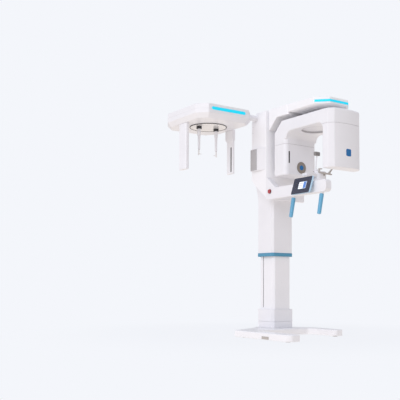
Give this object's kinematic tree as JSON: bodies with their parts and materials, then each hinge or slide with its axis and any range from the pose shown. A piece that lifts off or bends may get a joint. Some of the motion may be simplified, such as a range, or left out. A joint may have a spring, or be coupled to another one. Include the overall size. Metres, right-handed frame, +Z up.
{
  "type": "panoramic xray machine",
  "caption": "Floor-standing panoramic dental X-ray machine: lifting column, rotating C-arm with two heads, chin and forehead support, tilting console and a ceph arm.",
  "frame": {"origin": "on the floor, on the lifting column's centre line, at the middle levelling foot", "axes": "+Z up; the patient stands on the -Y side; the cephalometric unit is on the -X side"},
  "size_m": [1.327, 1.64, 2.2],
  "materials": {
    "white_cover": "satin",
    "white_metal": "satin paint",
    "blue_trim": "satin",
    "cyan_light": "translucent diffuser",
    "navy_panel": "gloss",
    "screen": "display",
    "dark_plastic": "matt",
    "grey_plastic": "matt",
    "support_grey": "matt",
    "taupe": "satin",
    "red_button": "gloss",
    "rubber": "matt",
    "steel": "bare",
    "motor": "cast"
  },
  "bodies": {
    "base": {"base_frame": "white_metal", "foot_front_left": "rubber", "foot_rear_left": "rubber", "foot_front_right": "rubber", "foot_rear_right": "rubber", "foot_centre": "rubber", "base_plate_label": "taupe", "boot_lower": "white_cover", "boot_upper": "white_cover", "inner_column": "white_metal", "lift_actuator": "motor", "power_inlet": "dark_plastic"},
    "mains_switch": {"power_switch": "dark_plastic"},
    "carriage": {"outer_sleeve": "white_metal", "sleeve_band": "blue_trim", "rear_fairing": "white_cover", "carriage_body": "white_cover", "carriage_frame": "steel", "lift_rod": "steel", "carriage_neck": "white_cover", "overhead_beam": "white_cover", "beam_light_strip": "cyan_light", "lower_arm": "white_cover", "handle_rear": "blue_trim", "handle_front": "blue_trim", "side_pod": "white_cover", "pod_vent": "grey_plastic", "chin_bracket": "white_cover", "chin_rest": "support_grey", "ceph_arm": "white_metal", "ceph_housing": "white_cover", "ceph_light_strip": "cyan_light"},
    "rotation_stage": {"stage_plate": "steel", "rotation_motor": "motor"},
    "gantry": {"gantry_hub": "steel", "gantry_bar": "white_cover", "bar_ring": "dark_plastic", "rear_shoulder": "white_cover", "front_shoulder": "white_cover", "rear_head_cover": "white_cover", "front_head_cover": "white_cover", "head_disc": "taupe", "head_slot": "dark_plastic", "xray_tube_block": "motor", "detector_panel": "dark_plastic"},
    "console": {"console": "navy_panel", "console_screen": "screen"},
    "emergency_stop": {"stop_button": "red_button"},
    "head_support": {"forehead_stem": "white_cover", "forehead_pad": "support_grey"},
    "ear_rotor": {"ceph_ring": "dark_plastic", "ceph_rotor_plate": "white_cover"},
    "ear_left": {"ear_arm_left": "white_cover", "ear_tip_left": "support_grey"},
    "ear_right": {"ear_arm_right": "white_cover", "ear_tip_right": "support_grey"},
    "ceph_sensor_unit": {"ceph_sensor": "white_cover"},
    "ceph_collimator_unit": {"ceph_collimator": "white_cover", "ceph_slot_window": "dark_plastic"}
  },
  "joints": [
    {"name": "mains_rocker", "type": "hinge", "parent": "base", "child": "mains_switch", "pos_m": [0.03, 0.1314, 0.096], "axis": [1, 0, 0], "range_deg": [-6, 6]},
    {"name": "lift", "type": "slide", "parent": "base", "child": "carriage", "axis": [0, 0, 1], "range_m": [-0.5, 0.12]},
    {"name": "stage_shift", "type": "slide", "parent": "carriage", "child": "rotation_stage", "axis": [0, -1, 0], "range_m": [0, 0.03]},
    {"name": "gantry_rotation", "type": "hinge", "parent": "rotation_stage", "child": "gantry", "pos_m": [0, -0.6, 2], "axis": [0, 0, 1], "range_deg": [-115, 115]},
    {"name": "console_tilt", "type": "hinge", "parent": "carriage", "child": "console", "pos_m": [-0.242, -0.683, 1.385], "axis": [0, 1, 0], "range_deg": [-15, 10]},
    {"name": "stop_press", "type": "slide", "parent": "carriage", "child": "emergency_stop", "axis": [1, 0, 0], "range_m": [0, 0.003], "stiffness_N_per_m": 600},
    {"name": "head_support_height", "type": "slide", "parent": "carriage", "child": "head_support", "axis": [0, 0, 1], "range_m": [-0.02, 0.03]},
    {"name": "ear_rotor_turn", "type": "hinge", "parent": "carriage", "child": "ear_rotor", "pos_m": [-0.65, 0.26, 2.04], "axis": [0, 0, 1], "range_deg": [-90, 90]},
    {"name": "ear_left_slide", "type": "slide", "parent": "ear_rotor", "child": "ear_left", "axis": [1, 0, 0], "range_m": [-0.03, 0.045]},
    {"name": "ear_right_slide", "type": "slide", "parent": "ear_rotor", "child": "ear_right", "axis": [-1, 0, 0], "range_m": [-0.03, 0.045]},
    {"name": "ceph_sensor_scan", "type": "slide", "parent": "carriage", "child": "ceph_sensor_unit", "axis": [0, 1, 0], "range_m": [-0.1, 0.1]},
    {"name": "ceph_collimator_scan", "type": "slide", "parent": "carriage", "child": "ceph_collimator_unit", "axis": [0, 1, 0], "range_m": [-0.07, 0.07]}
  ],
  "couplings": [
    {"joint": "ear_right_slide", "follows": "ear_left_slide", "ratio": 1},
    {"joint": "ceph_collimator_scan", "follows": "ceph_sensor_scan", "ratio": 0.65}
  ]
}
